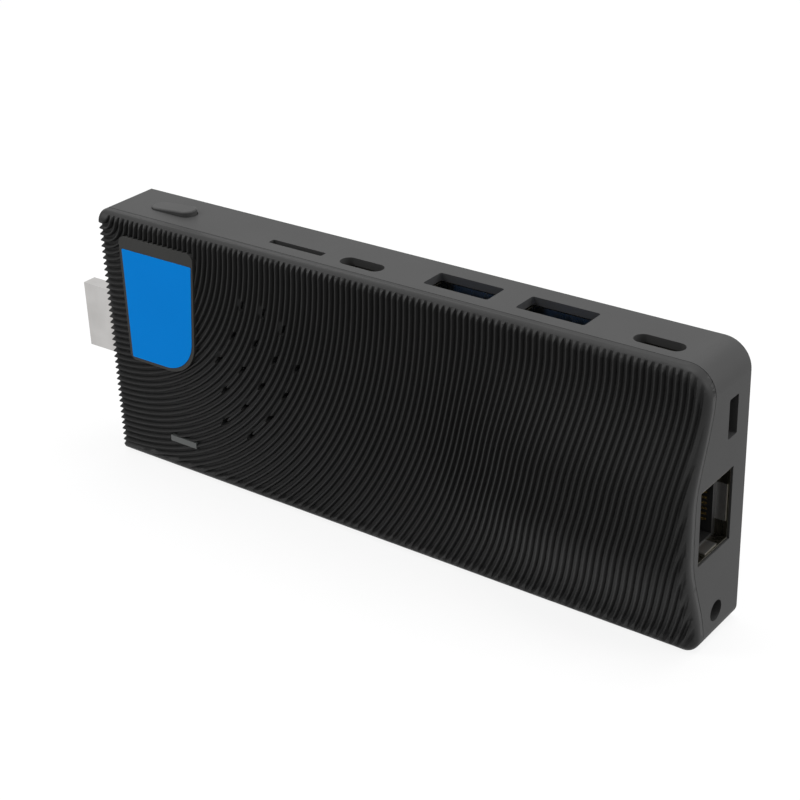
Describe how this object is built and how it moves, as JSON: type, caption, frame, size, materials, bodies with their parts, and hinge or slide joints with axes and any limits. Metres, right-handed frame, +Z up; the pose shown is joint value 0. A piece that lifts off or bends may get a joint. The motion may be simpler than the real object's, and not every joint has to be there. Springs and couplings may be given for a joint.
{
  "type": "hdmi stick computer",
  "caption": "Stick computer standing on its long edge: display plug, ribbed cover with a bulge for the network socket, ports along the top, and a sprung power button.",
  "frame": {"origin": "middle of the long narrow face that it stands on, on the rear shell", "axes": "+X along the length towards the network socket, away from the display plug; +Y from the ribbed cover to the plain back; +Z up, towards the sockets in the top face"},
  "size_m": [0.1435, 0.0212, 0.0536],
  "materials": {
    "case": "fine matte grey plastic",
    "cover": "dark grey ribbed plastic",
    "badge": "satin dark plate",
    "inlay": "plain blue inlay",
    "clear": "clear light pipe",
    "steel": "plated sheet steel",
    "dark_steel": "dark plated sheet steel",
    "gold": "gold plated contacts",
    "black_plastic": "black moulded insulator",
    "blue_plastic": "blue moulded insulator",
    "board": "green board laminate",
    "chip": "black chip package",
    "aluminium": "plain aluminium",
    "pad": "soft thermal pad",
    "brass": "plain brass",
    "lamp": "pale lamp package"
  },
  "bodies": {
    "case": {"audio_jack": "black_plastic", "audio_jack_springs": "gold", "badge_inlay": "inlay", "badge_plate": "badge", "board_screws": "steel", "card_socket_base": "black_plastic", "card_socket_contacts": "gold", "card_socket_cover": "steel", "case_screws": "dark_steel", "cell_holder": "black_plastic", "clock_cell": "steel", "clock_crystal": "steel", "cover_inserts": "brass", "display_plug_contacts": "gold", "display_plug_insulator": "black_plastic", "display_plug_shell": "steel", "front_cover": "cover", "heat_spreader": "aluminium", "indicator_lamp": "lamp", "light_pipe": "clear", "lock_plate": "steel", "low_antenna": "steel", "main_board": "board", "memory_chip_1": "chip", "memory_chip_2": "chip", "network_contacts": "gold", "network_housing": "black_plastic", "network_shield": "dark_steel", "network_springs": "steel", "network_transformer": "chip", "oval_socket_1_contacts": "gold", "oval_socket_1_insulator": "black_plastic", "oval_socket_1_shell": "dark_steel", "oval_socket_2_contacts": "gold", "oval_socket_2_insulator": "black_plastic", "oval_socket_2_shell": "dark_steel", "power_capacitors": "aluminium", "power_inductors": "chip", "power_regulator": "chip", "processor": "chip", "radio_board": "board", "radio_shield": "steel", "rear_shell": "case", "side_antenna": "steel", "spreader_screws": "steel", "storage_chip": "chip", "switch_body": "dark_steel", "thermal_pad": "pad", "wide_socket_1_contacts": "gold", "wide_socket_1_insulator": "blue_plastic", "wide_socket_1_shell": "dark_steel", "wide_socket_2_contacts": "gold", "wide_socket_2_insulator": "blue_plastic", "wide_socket_2_shell": "dark_steel"},
    "button": {"power_button": "case", "switch_plunger": "black_plastic"},
    "card_carriage": {"card_slider": "black_plastic"}
  },
  "joints": [
    {"name": "power_button_press", "type": "slide", "parent": "case", "child": "button", "axis": [0, 0, -1], "range_m": [0, 0.0005], "stiffness_N_per_m": 2500, "springref_m": -0.0002},
    {"name": "card_slide", "type": "slide", "parent": "case", "child": "card_carriage", "axis": [0, 0, -1], "range_m": [0, 0.0012], "stiffness_N_per_m": 500, "springref_m": -0.0008}
  ]
}
